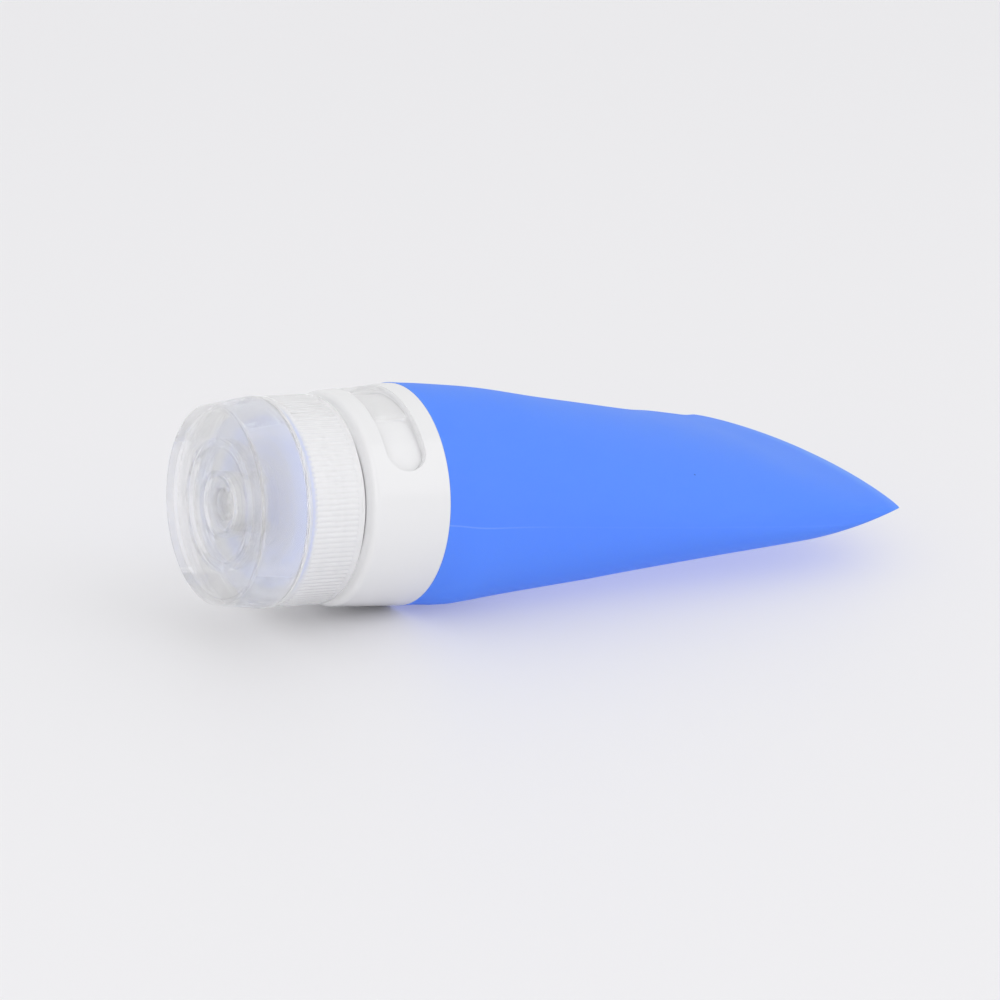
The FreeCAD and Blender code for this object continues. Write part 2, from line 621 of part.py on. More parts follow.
def tube_form(inset, end_height, length, start):
    """Closed solid of the tube's outside, or of its hollow, from the collar to the tail."""
    sections = [tube_section(share, inset, end_height, length) for share in STATIONS]
    faces = Part.makeLoft(sections, False, False).Faces
    faces.append(Part.Face(sections[0]))
    faces.append(Part.makeRuledSurface(*sections[-1].Edges))
    skin = Part.Compound(faces)
    skin.sewShape()
    solid = Part.Solid(skin.Shells[0])
    if solid.Volume < 0:
        solid.reverse()
    solid.translate(FreeCAD.Vector(0, 0, start))
    return solid


def build_tube_body():
    """Soft tube: round at the collar, flat at the tail, with a neck that folds over the hard one."""
    shoulder = -size("{collar_gap}")
    length = size("{tube_length}") - size("{collar_gap}")
    outside = tube_form(0, size("{tail_height}"), length, shoulder)
    wall = size("{tube_wall}")
    inside = tube_form(wall, size("{tail_height}") / 2, length - size("{tail_seal}") - wall, shoulder - wall)
    bore = size(MOUTH_RADIUS)
    neck_outside = size(MOUTH_OUTSIDE)
    lip_back = size(NECK_FRONT + " + {soft_gap}")
    lip_face = size(LIP_FACE)
    sunk = shoulder - wall
    neck = Part.makeCylinder(neck_outside, lip_face - sunk, FreeCAD.Vector(0, 0, sunk))
    lip = Part.makeCylinder(size(LIP_RADIUS), lip_face - lip_back, FreeCAD.Vector(0, 0, lip_back))
    mouth = Part.makeCylinder(bore, lip_face - sunk + 2 * wall, FreeCAD.Vector(0, 0, sunk - wall))
    shape = outside.cut(inside).fuse([neck, lip]).cut(mouth).removeSplitter()
    tube = doc.addObject("Part::Feature", "tube_body")
    tube.Shape = shape.Solids[0] if len(shape.Solids) == 1 else shape
    return tube


def lay_down(pieces):
    """Tilt every piece alike and put the origin under the middle of the whole bottle, on the ground."""
    for piece in pieces:
        piece.Placement = FreeCAD.Placement(FreeCAD.Vector(0, 0, 0), FreeCAD.Rotation(FreeCAD.Vector(0, 1, 0), -90))
        piece.setExpression("Placement.Rotation.Angle", link("{tilt_angle} - 90"))
    doc.recompute()
    whole = FreeCAD.BoundBox()
    for piece in pieces:
        whole.add(piece.Shape.optimalBoundingBox(False))
    row = len(SIZES) + 1
    for alias, number in (("shift_x", -whole.Center.x), ("shift_z", -whole.ZMin)):
        sizes.set(f"A{row}", alias)
        sizes.set(f"B{row}", f"{number:.6f}")
        sizes.setAlias(f"B{row}", alias)
        row += 1
    doc.recompute()
    for piece in pieces:
        piece.setExpression("Placement.Base.x", "Sizes.shift_x")
        piece.setExpression("Placement.Base.z", "Sizes.shift_z")
    doc.recompute()


def check_and_write(pieces):
    """Stop on any failed object, then write one file for each piece."""
    for item in doc.Objects:
        if "Invalid" in item.State or "Error" in item.State:
            raise ValueError(f"{item.Name} failed: {item.State}")
    for piece in pieces:
        shape = piece.Shape
        if shape.isNull() or not shape.isValid() or len(shape.Solids) != 1:
            raise ValueError(f"{piece.Label} is not one valid solid")
    os.makedirs("parts", exist_ok=True)
    for piece in pieces:
        piece.Shape.exportStep(f"parts/{piece.Label}.step")
        print(piece.Label, round(piece.Shape.Volume, 1), len(piece.Shape.Faces), "faces")


fill_sheet()
bottle = [
    build_tube_body(),
    build_threaded_neck(),
    build_label_ring(),
    build_window_collar(),
    build_window_pane(),
    build_screw_cap(),
    build_slit_valve(),
    build_valve_retainer(),
    build_flip_lid(),
]
lay_down(bottle)
check_and_write(bottle)
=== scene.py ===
import json
import math

import bmesh
import bpy
from bpy.props import FloatProperty, FloatVectorProperty, IntProperty, PointerProperty
from mathutils import Matrix, Vector


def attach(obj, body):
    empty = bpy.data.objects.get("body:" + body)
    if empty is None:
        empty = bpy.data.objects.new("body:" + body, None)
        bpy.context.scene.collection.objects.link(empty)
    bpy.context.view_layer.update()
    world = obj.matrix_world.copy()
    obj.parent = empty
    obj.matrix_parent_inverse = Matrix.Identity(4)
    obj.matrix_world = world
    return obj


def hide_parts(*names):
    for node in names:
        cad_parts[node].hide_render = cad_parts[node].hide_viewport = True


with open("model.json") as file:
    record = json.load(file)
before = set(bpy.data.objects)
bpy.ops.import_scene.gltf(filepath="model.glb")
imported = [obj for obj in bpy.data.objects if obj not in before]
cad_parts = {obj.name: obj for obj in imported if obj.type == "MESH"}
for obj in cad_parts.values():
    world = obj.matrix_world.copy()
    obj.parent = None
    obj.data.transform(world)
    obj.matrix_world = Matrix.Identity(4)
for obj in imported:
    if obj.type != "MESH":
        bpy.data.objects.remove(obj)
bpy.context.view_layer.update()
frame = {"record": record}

bl_info = {
    "name": "Silicone travel bottle",
    "version": (1, 0, 0),
    "blender": (4, 5, 0),
    "location": "View3D > Sidebar > Bottle",
    "description": "Tube, collar, screw cap, valve and flip lid of a travel bottle, with a studio stage",
    "category": "Object",
}

# The lid's front face is a stated mount. The bottle's own axis stands on it and points out through the cap.
LID_FACE = frame["record"]["mounts"][0]
AXIS_OUT = Vector(LID_FACE["axis"])
MM = 0.001
LID_FRONT = 41.85 * MM
ROUND = 256
TURN = 2 * math.pi


# Sizes and colours

class BottleSizes(bpy.types.PropertyGroup):
    """Lengths that a user may change, on the bottle's own axis"""

    collar_radius: FloatProperty(
        name="Collar radius", description="Rear rim of the window collar",
        default=0.023, unit="LENGTH")
    collar_front: FloatProperty(
        name="Collar front radius", description="Front of the window collar",
        default=0.02205, unit="LENGTH")
    collar_length: FloatProperty(
        name="Collar length", description="Window collar, front to rear",
        default=0.0171, unit="LENGTH")
    window_rear: FloatProperty(
        name="Window start", description="Collar's rear rim to the window",
        default=0.0041, unit="LENGTH")
    window_width: FloatProperty(
        name="Window width", description="Window, along the axis",
        default=0.0088, unit="LENGTH")
    window_angle: FloatProperty(
        name="Window angle", description="Window, around the collar",
        default=math.radians(122), subtype="ANGLE")
    skirt_radius: FloatProperty(
        name="Cap radius", description="Outside of the screw cap",
        default=0.0214, unit="LENGTH")
    rib_depth: FloatProperty(
        name="Rib depth", description="Grooves between the grip ribs",
        default=0.0002, unit="LENGTH")
    rib_count: IntProperty(
        name="Ribs", description="Grooves between the grip ribs, around the cap",
        default=108)
    thread_pitch: FloatProperty(
        name="Thread pitch", description="Rise of the thread in one turn",
        default=0.004, unit="LENGTH")
    lid_rear: FloatProperty(
        name="Lid rear radius", description="Rear rim of the flip lid",
        default=0.02155, unit="LENGTH")
    lid_front: FloatProperty(
        name="Lid front radius", description="Front plate of the flip lid",
        default=0.0203, unit="LENGTH")
    hinge_offset: FloatProperty(
        name="Hinge offset", description="Bottle's axis to the hinge pin",
        default=0.0222, unit="LENGTH")
    tube_length: FloatProperty(
        name="Tube length", description="Tube behind the collar",
        default=0.106, unit="LENGTH")
    tube_wall: FloatProperty(
        name="Tube wall", description="Wall of the silicone",
        default=0.0018, unit="LENGTH")
    tail_half_width: FloatProperty(
        name="Tail half width", description="Half the width of the flat tail",
        default=0.0389, unit="LENGTH")


class BottleColours(bpy.types.PropertyGroup):
    """Colours that a user may change"""

    silicone: FloatVectorProperty(
        name="Silicone", description="The soft tube", subtype="COLOR",
        size=3, min=0, max=1, default=(0.112, 0.272, 0.98))
    # Painted light: a lighter blue painted on the thin tail, standing in for light that comes through it.
    painted_tail_light: FloatVectorProperty(
        name="Painted tail light", description="The thin tail, where light comes through", subtype="COLOR",
        size=3, min=0, max=1, default=(0.2, 0.39, 0.97))
    collar: FloatVectorProperty(
        name="Collar", description="Glossy white plastic", subtype="COLOR",
        size=3, min=0, max=1, default=(0.79, 0.79, 0.80))
    label: FloatVectorProperty(
        name="Label ring", description="Bare ring behind the window", subtype="COLOR",
        size=3, min=0, max=1, default=(0.79, 0.79, 0.80))
    cap: FloatVectorProperty(
        name="Cap", description="Milky plastic of the screw cap", subtype="COLOR",
        size=3, min=0, max=1, default=(0.87, 0.87, 0.88))
    lid: FloatVectorProperty(
        name="Lid", description="Clear plastic of the flip lid and the pane", subtype="COLOR",
        size=3, min=0, max=1, default=(0.99, 0.99, 0.995))
    floor: FloatVectorProperty(
        name="Floor", description="Plain pale floor", subtype="COLOR",
        size=3, min=0, max=1, default=(0.85, 0.845, 0.865))


def sizes():
    return bpy.context.scene.bottle_sizes


def colours():
    return bpy.context.scene.bottle_colours


def in_mm(length):
    """A size in millimetres, rounded to a ten-thousandth."""
    return round(length / MM, 4)


# Outlines

# The most of an edge that one rounded corner may take.
CORNER_SHARE = 0.49


def soften(corners, steps=4, closed=True):
    """Profile in metres from corners (across, along) in millimetres.

    Along counts from the collar's rear rim. A third number rounds a corner, in this many steps.
    """
    profile = []
    count = len(corners)
    for index, corner in enumerate(corners):
        spot = Vector(corner[:2]) * MM
        radius = corner[2] * MM if len(corner) > 2 else 0
        if not radius or (not closed and index in (0, count - 1)):
            profile.append(spot)
            continue
        before = Vector(corners[index - 1][:2]) * MM - spot
        after = Vector(corners[(index + 1) % count][:2]) * MM - spot
        half = before.angle(after) / 2
        reach = min(radius / math.tan(half), before.length * CORNER_SHARE, after.length * CORNER_SHARE)
        start, end = before.normalized() * reach, after.normalized() * reach
        for step in range(steps + 1):
            share = step / steps
            profile.append(spot + start * (1 - share) ** 2 + end * share ** 2)
    return profile


def points(corners):
    """Points in metres from plain corners in millimetres."""
    return [Vector((across * MM, along * MM)) for across, along in corners]


def arc(middle, radius, start, sweep, steps):
    """Points about a middle; start and sweep are in degrees, and both ends are included."""
    angles = [math.radians(start + sweep * step / steps) for step in range(steps + 1)]
    return [middle + radius * Vector((math.cos(angle), math.sin(angle))) for angle in angles]


def circle(middle, radius, steps=32):
    return arc(middle, radius, 0, 360, steps)[:-1]


def ease(part):
    """Rises smoothly from nought at nought to one at one, and stays there."""
    part = min(1, part)
    return part * part * (3 - 2 * part)


# Shared modelling steps

BEVEL_SEGMENTS = 3
BEVEL_DEGREES = 40
SHARP_DEGREES = 32
RIB_DEGREES = 40
LOFT_DEGREES = 50


def to_frame():
    """Matrix from the bottle's own axes (up, hinge side, out through the cap) to the frame."""
    across = Vector((0, 1, 0))
    up = across.cross(AXIS_OUT)
    matrix = Matrix((up, across, AXIS_OUT)).transposed().to_4x4()
    matrix.translation = Vector(LID_FACE["pos_m"]) - AXIS_OUT * LID_FRONT
    return matrix


def first_ring(name, count):
    """Circle primitive in edit mode, each vertex marked with its step round the ring."""
    bpy.ops.object.select_all(action="DESELECT")
    bpy.ops.mesh.primitive_circle_add(vertices=count)
    piece = bpy.context.object
    piece.name = piece.data.name = name
    bpy.ops.object.mode_set(mode="EDIT")
    bpy.ops.mesh.select_mode(type="VERT")
    bpy.ops.mesh.select_all(action="SELECT")
    form = bmesh.from_edit_mesh(piece.data)
    for mark in ("step", "row"):
        form.verts.layers.int.new(mark)
    steps = form.verts.layers.int["step"]
    for index, vert in enumerate(form.verts):
        vert[steps] = index
    return piece


def place_ring(piece, row, ring):
    """Move the selected ring of vertices to its points."""
    form = bmesh.from_edit_mesh(piece.data)
    steps, rows = form.verts.layers.int["step"], form.verts.layers.int["row"]
    for vert in form.verts:
        if vert.select:
            vert.co = ring[vert[steps]]
            vert[rows] = row
    bmesh.update_edit_mesh(piece.data)


def select_rows(piece, wanted):
    bpy.ops.mesh.select_all(action="DESELECT")
    form = bmesh.from_edit_mesh(piece.data)
    rows = form.verts.layers.int["row"]
    for vert in form.verts:
        vert.select = vert[rows] in wanted
    form.select_flush(True)
    bmesh.update_edit_mesh(piece.data)


def close_strip(piece, row):
    """Shut a flat end by faces between its upper and lower edge."""
    form = bmesh.from_edit_mesh(piece.data)
    steps, rows = form.verts.layers.int["step"], form.verts.layers.int["row"]
    ring = {vert[steps]: vert for vert in form.verts if vert[rows] == row}
    count = len(ring)
    for step in range(count // 2):
        corners = [ring[step], ring[step + 1], ring[count - step - 1], ring[(count - step) % count]]
        form.faces.new(list(dict.fromkeys(corners)))
    bmesh.update_edit_mesh(piece.data)


def finish_mesh(piece):
    """Turn all faces outwards and leave edit mode."""
    form = bmesh.from_edit_mesh(piece.data)
    form.normal_update()
    bmesh.update_edit_mesh(piece.data)
    bpy.ops.mesh.select_all(action="SELECT")
    bpy.ops.mesh.normals_make_consistent(inside=False)
    form = bmesh.from_edit_mesh(piece.data)
    if form.calc_volume(signed=True) < 0:
        bpy.ops.mesh.flip_normals()
    bpy.ops.object.mode_set(mode="OBJECT")


def ring_loft(name, rings, joined=False, poles=(), lids=(), strips=()):
    """Rings extruded one after the other.

    Joined closes the last ring to the first. A row in poles shrinks to a point, one in lids gets a
    single face, and one in strips is shut from its upper to its lower edge.
    """
    piece = first_ring(name, len(rings[0]))
    place_ring(piece, 0, rings[0])
    for row, ring in enumerate(rings[1:], start=1):
        bpy.ops.mesh.extrude_region_move()
        place_ring(piece, row, ring)
    if joined:
        select_rows(piece, {0, len(rings) - 1})
        bpy.ops.mesh.bridge_edge_loops()
    for row in poles:
        select_rows(piece, {row})
        bpy.ops.mesh.merge(type="CENTER")
    for row in lids:
        select_rows(piece, {row})
        bpy.ops.mesh.edge_face_add()
    for row in strips:
        close_strip(piece, row)
    finish_mesh(piece)
    return piece


def turned(name, profile, count=ROUND, joined=True, poles=()):
    """Profile turned about the bottle's axis."""
    corners = [(math.cos(TURN * step / count), math.sin(TURN * step / count)) for step in range(count)]
    rings = [[Vector((across * x, across * y, along)) for x, y in corners] for across, along in profile]
    return ring_loft(name, rings, joined, poles)


def plate(name, outline, start, end, edge=0.0):
    """Outline in the plane across the hinge pin, filled, extruded along the pin and bevelled."""
    count = len(outline)
    rings = [[Vector((reach, across, along)) for across, along in outline] for reach in (start, end)]
    piece = first_ring(name, count)
    place_ring(piece, 0, rings[0])
    bpy.ops.mesh.edge_face_add()
    bpy.ops.mesh.extrude_region_move()
    place_ring(piece, 1, rings[1])
    finish_mesh(piece)
    if edge:
        bevel = piece.modifiers.new("edges", "BEVEL")
        bevel.width = edge
        bevel.segments = BEVEL_SEGMENTS
        bevel.limit_method = "ANGLE"
        bevel.angle_limit = math.radians(BEVEL_DEGREES)
        apply_all(piece)
    return piece


def make_active(piece):
    bpy.ops.object.select_all(action="DESELECT")
    piece.select_set(True)
    bpy.context.view_layer.objects.active = piece


def apply_all(piece):
    make_active(piece)
    for modifier in list(piece.modifiers):
        bpy.ops.object.modifier_apply(modifier=modifier.name)


def combine(piece, tool, operation):
    """Cut the tool out of the piece, or fuse the two, and remove the tool."""
    boolean = piece.modifiers.new("cut", "BOOLEAN")
    boolean.operation = operation
    boolean.solver = "EXACT"
    boolean.object = tool
    apply_all(piece)
    bpy.data.objects.remove(tool)


def settle(piece, body, slot_name, node=None, sharp=SHARP_DEGREES):
    """Smooth the piece, turn it from the bottle's axes into the frame, and give it its finish and body."""
    make_active(piece)
    bpy.ops.object.shade_smooth_by_angle(angle=math.radians(sharp))
    weights = piece.modifiers.new("even normals", "WEIGHTED_NORMAL")
    weights.keep_sharp = True
    apply_all(piece)
    for mark in ("step", "row"):
        if mark in piece.data.attributes:
            piece.data.attributes.remove(piece.data.attributes[mark])
    piece.data.transform(to_frame())
    piece.data.materials.clear()
    piece.data.materials.append(finish_named(slot_name))
    if node:
        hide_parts(node)
    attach(piece, body)
    return piece


# Shader nodes

MIX_INPUTS = (0, 6, 7)
MIX_RESULT = 2


def feed(tree, socket, value):
    """Link an output to the socket, or set a constant on it."""
    if isinstance(value, bpy.types.NodeSocket):
        tree.links.new(value, socket)
    else:
        socket.default_value = value


def add_node(tree, kind, **values):
    """Node of a kind, with its inputs fed by name."""
    node = tree.nodes.new(kind)
    for name, value in values.items():
        feed(tree, node.inputs[name.replace("_", " ")], value)
    return node


def add_math(tree, operation, *values):
    """Result of a math operation on these values."""
    node = tree.nodes.new("ShaderNodeMath")
    node.operation = operation
    for socket, value in zip(node.inputs, values):
        feed(tree, socket, value)
    return node.outputs[0]


def add_range(tree, value, start, end, low=0, high=1):
    """Number from low to high, as the value goes from start to end."""
    node = add_node(tree, "ShaderNodeMapRange", Value=value, From_Min=start, From_Max=end,
                    To_Min=low, To_Max=high)
    return node.outputs["Result"]


def add_mix(tree, share, first, second):
    """Colour between the first and the second, by this share."""
    node = tree.nodes.new("ShaderNodeMix")
    node.data_type = "RGBA"
    for index, value in zip(MIX_INPUTS, (share, first, second)):
        feed(tree, node.inputs[index], value)
    return node.outputs[MIX_RESULT]


# Finishes

SURFACE_NAME = "moulded surface"
SURFACE_INPUTS = {"Grain Scale": 1500.0, "Cloud Scale": 60.0, "Dust Scale": 700.0, "Dust Size": 0.1,
                  "Roughness": 0.4, "Unevenness": 0.1}
GRAIN_DEPTH = 0.1 * MM
GRAIN_DETAIL = 3.0
CLOUD_DETAIL = 4.0
CLOUD_MIDDLE = 0.5
DUST_THRESHOLD = 0.93

SILICONE = {"Subsurface Weight": 0.3, "Subsurface Radius": (0.3, 0.5, 1.0), "Subsurface Scale": 0.003,
            "IOR": 1.41, "Specular IOR Level": 0.04}
SILICONE_DUST = {"Dust Scale": 190, "Dust Size": 0.06}
SILICONE_PASSING = (0.86, 0.88, 1)

# Parting line: distance from its plane, span along the frame's X, and strength at the two ends of the span.
SEAM_EDGE = 0.22 * MM
SEAM_CORE = 0.08 * MM
SEAM_SPAN = (-24 * MM, -8 * MM)
SEAM_STRENGTH = (0.32, 0.04)
SEAM_COLOUR = (0.3, 0.48, 1, 1)
# Span along the frame's X over which the tail turns to the painted light colour, as if light came through it.
PAINTED_TAIL_LIGHT_SPAN = (68 * MM, 75 * MM)

MILKY_PLASTIC = {"transmission": 0.6, "rough": 0.05, "bump": 0.06, "alpha": 1, "passing": 1, "ior": 1.35}
CLEAR_PLASTIC = {"transmission": 0.93, "rough": 0.02, "bump": 0.02, "alpha": 0.5, "passing": 1, "ior": 1.27}
CLOUDY_SILICONE = {"transmission": 0.4, "rough": 0.35, "bump": 0.1, "alpha": 1, "passing": 0.6, "ior": 1.41}
UNEVEN_SHARE = 0.4


def moulded_group():
    """Shared effect: fine moulded grain as a height, uneven gloss, and sparse dust specks."""
    if SURFACE_NAME in bpy.data.node_groups:
        return bpy.data.node_groups[SURFACE_NAME]
    group = bpy.data.node_groups.new(SURFACE_NAME, "ShaderNodeTree")
    for name, default in SURFACE_INPUTS.items():
        socket = group.interface.new_socket(name, in_out="INPUT", socket_type="NodeSocketFloat")
        socket.default_value = default
    for name in ("Height", "Roughness", "Dust"):
        group.interface.new_socket(name, in_out="OUTPUT", socket_type="NodeSocketFloat")
    source = group.nodes.new("NodeGroupInput").outputs
    place = group.nodes.new("ShaderNodeTexCoord").outputs["Object"]
    grain = add_node(
        group, "ShaderNodeTexNoise", Vector=place, Scale=source["Grain Scale"], Detail=GRAIN_DETAIL)
    cloud = add_node(
        group, "ShaderNodeTexNoise", Vector=place, Scale=source["Cloud Scale"], Detail=CLOUD_DETAIL)
    dust = add_node(group, "ShaderNodeTexVoronoi", Vector=place, Scale=source["Dust Scale"])
    dust.feature = "F1"
    shift = add_math(group, "SUBTRACT", cloud.outputs["Fac"], CLOUD_MIDDLE)
    rough = add_math(group, "MULTIPLY_ADD", shift, source["Unevenness"], source["Roughness"])
    speck = add_range(group, dust.outputs["Distance"], source["Dust Size"], 0)
    some = add_math(group, "GREATER_THAN", dust.outputs["Color"], DUST_THRESHOLD)
    result = group.nodes.new("NodeGroupOutput").inputs
    feed(group, result["Height"], grain.outputs["Fac"])
    feed(group, result["Roughness"], rough)
    feed(group, result["Dust"], add_math(group, "MULTIPLY", speck, some))
    return group


def moulded_material(name, colour, dust_colour, dust_amount, grain, bump, rough, uneven):
    """Principled material with the shared moulded surface on its roughness, normal and colour."""
    material = bpy.data.materials.new(name)
    material.use_nodes = True
    tree = material.node_tree
    shader = tree.nodes["Principled BSDF"].inputs
    surface = tree.nodes.new("ShaderNodeGroup")
    surface.name = SURFACE_NAME
    surface.node_tree = moulded_group()
    for socket, value in (("Grain Scale", grain), ("Roughness", rough), ("Unevenness", uneven)):
        surface.inputs[socket].default_value = value
    relief = add_node(tree, "ShaderNodeBump", Strength=bump, Distance=GRAIN_DEPTH,
                      Height=surface.outputs["Height"])
    feed(tree, shader["Normal"], relief.outputs["Normal"])
    feed(tree, shader["Roughness"], surface.outputs["Roughness"])
    dust = add_math(tree, "MULTIPLY", surface.outputs["Dust"], dust_amount)
    feed(tree, shader["Base Color"], add_mix(tree, dust, (*colour, 1), (*dust_colour, 1)))
    return material


def let_light_pass(material, tint):
    """Let light from the lamps, and light between surfaces, straight through each face with this tint."""
    tree = material.node_tree
    path = tree.nodes.new("ShaderNodeLightPath")
    clear = add_node(tree, "ShaderNodeBsdfTransparent", Color=(*tint, 1))
    surface = tree.nodes["Principled BSDF"].outputs[0]
    for ray in ("Is Shadow Ray", "Is Diffuse Ray"):
        mix = tree.nodes.new("ShaderNodeMixShader")
        for socket, value in zip(mix.inputs, (path.outputs[ray], surface, clear.outputs[0])):
            feed(tree, socket, value)
        surface = mix.outputs[0]
    feed(tree, tree.nodes["Material Output"].inputs["Surface"], surface)


def mould_seam(tree, place, along):
    """Mask of the mould's parting line, in the plane of the tube's side edges, strongest near the collar."""
    matrix = to_frame()
    normal = matrix.col[0].xyz - AXIS_OUT * (TAIL_SAG / sizes().tube_length)
    dot = tree.nodes.new("ShaderNodeVectorMath")
    dot.operation = "DOT_PRODUCT"
    for socket, value in zip(dot.inputs, (place, normal)):
        feed(tree, socket, value)
    away = add_math(tree, "SUBTRACT", dot.outputs["Value"], normal.dot(matrix.translation))
    near = add_range(tree, add_math(tree, "ABSOLUTE", away), SEAM_EDGE, SEAM_CORE)
    fade = add_range(tree, along, *SEAM_SPAN, *SEAM_STRENGTH)
    return add_math(tree, "MULTIPLY", near, fade)


def silicone_finish():
    """Satin blue silicone: soft scatter, a faint parting line, and a painted lighter colour where the tail is
    thin, for light coming through it.
    """
    palette = colours()
    material = moulded_material(
        "blue silicone", palette.silicone, dust_colour=(0.03, 0.07, 0.35), dust_amount=1,
        grain=2600, bump=0.12, rough=0.5, uneven=0.12)
    tree = material.node_tree
    for name, value in SILICONE_DUST.items():
        tree.nodes[SURFACE_NAME].inputs[name].default_value = value
    shader = tree.nodes["Principled BSDF"].inputs
    for name, value in SILICONE.items():
        shader[name].default_value = value
    place = tree.nodes.new("ShaderNodeTexCoord").outputs["Object"]
    along = add_node(tree, "ShaderNodeSeparateXYZ", Vector=place).outputs["X"]
    base = shader["Base Color"]
    lined = add_mix(tree, mould_seam(tree, place, along), base.links[0].from_socket, SEAM_COLOUR)
    # Painted light: the thin tail is drawn lighter, as if light came through it.
    tail = add_range(tree, along, *PAINTED_TAIL_LIGHT_SPAN)
    feed(tree, base, add_mix(tree, tail, lined, (*palette.painted_tail_light, 1)))
    let_light_pass(material, SILICONE_PASSING)
    return material


def white_finish():
    """Glossy white plastic with a trace of orange peel."""
    material = moulded_material(
        "glossy white plastic", colours().collar, dust_colour=(0.6, 0.6, 0.62), dust_amount=0.15,
        grain=500, bump=0.03, rough=0.16, uneven=0.06)
    material.node_tree.nodes["Principled BSDF"].inputs["IOR"].default_value = 1.5
    return material


def label_finish():
    """Matte white plastic."""
    return moulded_material(
        "matte label plastic", colours().label, dust_colour=(0.7, 0.7, 0.72), dust_amount=0.1,
        grain=3000, bump=0.15, rough=0.5, uneven=0.1)


def see_through(name, colour, transmission, rough, bump, alpha, passing, ior):
    """See-through finish; passing is the share of the lamps' light that a face lets straight on."""
    material = moulded_material(
        name, colour, dust_colour=(0.75, 0.76, 0.8), dust_amount=0.2,
        grain=900, bump=bump, rough=rough, uneven=rough * UNEVEN_SHARE)
    shader = material.node_tree.nodes["Principled BSDF"].inputs
    for socket, value in (("Transmission Weight", transmission), ("IOR", ior), ("Alpha", alpha)):
        shader[socket].default_value = value
    let_light_pass(material, (passing, passing, passing))
    return material


def finish_named(slot_name):
    """Material of a record slot, made once."""
    key = f"finish of {slot_name}"
    for material in bpy.data.materials:
        if material.get("slot") == key:
            return material
    palette = colours()
    makers = {
        "blue_silicone": silicone_finish,
        "white_plastic": white_finish,
        "label_plastic": label_finish,
        "milky_plastic": lambda: see_through("milky plastic", palette.cap, **MILKY_PLASTIC),
        "clear_plastic": lambda: see_through("clear plastic", palette.lid, **CLEAR_PLASTIC),
        "clear_silicone": lambda: see_through("cloudy silicone", palette.cap, **CLOUDY_SILICONE),
    }
    material = makers[slot_name]()
    material["slot"] = key
    return material


# The tube

TAIL_HEIGHT = 1.6 * MM
TAIL_SEAL = 4 * MM
TAIL_BOW = 4.4 * MM
TAIL_SAG = 0.9 * MM
TAIL_CURL = 3.5 * MM
CURL_SHARE = 0.2
FAR_SAG = 0.5 * MM
WIDENING = 1.5
TAPER_START = 1.03
TAPER_END = 0.63
OVER_COLLAR = 0.1 * MM
SHOULDER = -0.04 * MM
BLEND_SHARE = 0.06
TUBE_STEPS = 192
TUBE_ROWS = 72
TILT = math.asin(AXIS_OUT.z)

# Each swell or fuller side: how much, then its middle and its spread as shares of the way to the tail.
SIDE_SWELL, SIDE_SWELL_AT = 1.6 * MM, (0.06, 0.08)
TOP_SWELL, TOP_SWELL_AT = 0.6 * MM, (0.2, 0.12)
TAIL_SWELL, TAIL_SWELL_AT = 0.4 * MM, (0.8, 0.12)
UPPER_FULLNESS, UPPER_FULL_AT = 0.5, (0.85, 0.15)
UNDER_FULLNESS, UNDER_FULL_AT = 0.34, (0.05, 0.35)

SOFT_NECK = [
    (23.1, -0.04), (16, -0.04, 0.3), (16, 28.6, 0.3), (17.4, 28.6, 0.3), (17.4, 29.8, 0.5), (13, 29.8, 0.6),
    (13, -2.1, 0.6), (21.3, -2.1)]


def bump(share, middle, spread):
    """Soft bump along the tube: one in the middle and nought far from it."""
    return math.exp(-((share - middle) / spread) ** 2)


def tube_ring(share, inset, end_height, length, start):
    """Section at this share of the way to the tail: a circle that turns into a thin wide strip."""
    table = sizes()
    tube_radius = table.collar_radius + OVER_COLLAR
    radius = tube_radius - inset
    begun = ease(share / BLEND_SHARE)
    closing = max(0, 1 - share ** TAPER_START) ** TAPER_END
    height = radius * closing + end_height / 2 * share + begun * TOP_SWELL * bump(share, *TOP_SWELL_AT)
    height += TAIL_SWELL * bump(share, *TAIL_SWELL_AT) * closing
    width = radius + (table.tail_half_width - tube_radius) * (1 - (1 - share) ** WIDENING)
    width += begun * SIDE_SWELL * bump(share, *SIDE_SWELL_AT)
    back = share * length
    curl = max(0, (back / table.tube_length - 1) / CURL_SHARE + 1) ** 2
    drop = TAIL_SAG * back / table.tube_length - TAIL_CURL * curl
    ground = table.collar_radius - back * math.tan(TILT) - drop - inset
    low = min(height, max(ground, end_height / 2))
    upper_power = 1 - UPPER_FULLNESS * bump(share, *UPPER_FULL_AT)
    under_power = 1 - begun * UNDER_FULLNESS * bump(share, *UNDER_FULL_AT)
    ring = []
    for step in range(TUBE_STEPS):
        angle = TURN * step / TUBE_STEPS
        side, rise = math.cos(angle), math.sin(angle)
        lift = height * rise ** upper_power if rise > 0 else -low * abs(rise) ** under_power
        bow = TAIL_BOW * side ** 2 * share
        far_drop = FAR_SAG * curl * max(0, side) ** 2
        ring.append(Vector((lift - drop - far_drop, width * side, start + bow - back)))
    return ring


def tube_rows(inset, end_height, length, start, rows):
    """Sections from the collar to the tail, closer together towards the tail."""
    shares = [1 - (1 - step / rows) ** (1 / TAPER_END) for step in range(rows + 1)]
    return [tube_ring(share, inset, end_height, length, start) for share in shares]


def round_ring(radius, along):
    angles = [TURN * step / TUBE_STEPS for step in range(TUBE_STEPS)]
    return [Vector((radius * math.sin(angle), radius * math.cos(angle), along)) for angle in angles]


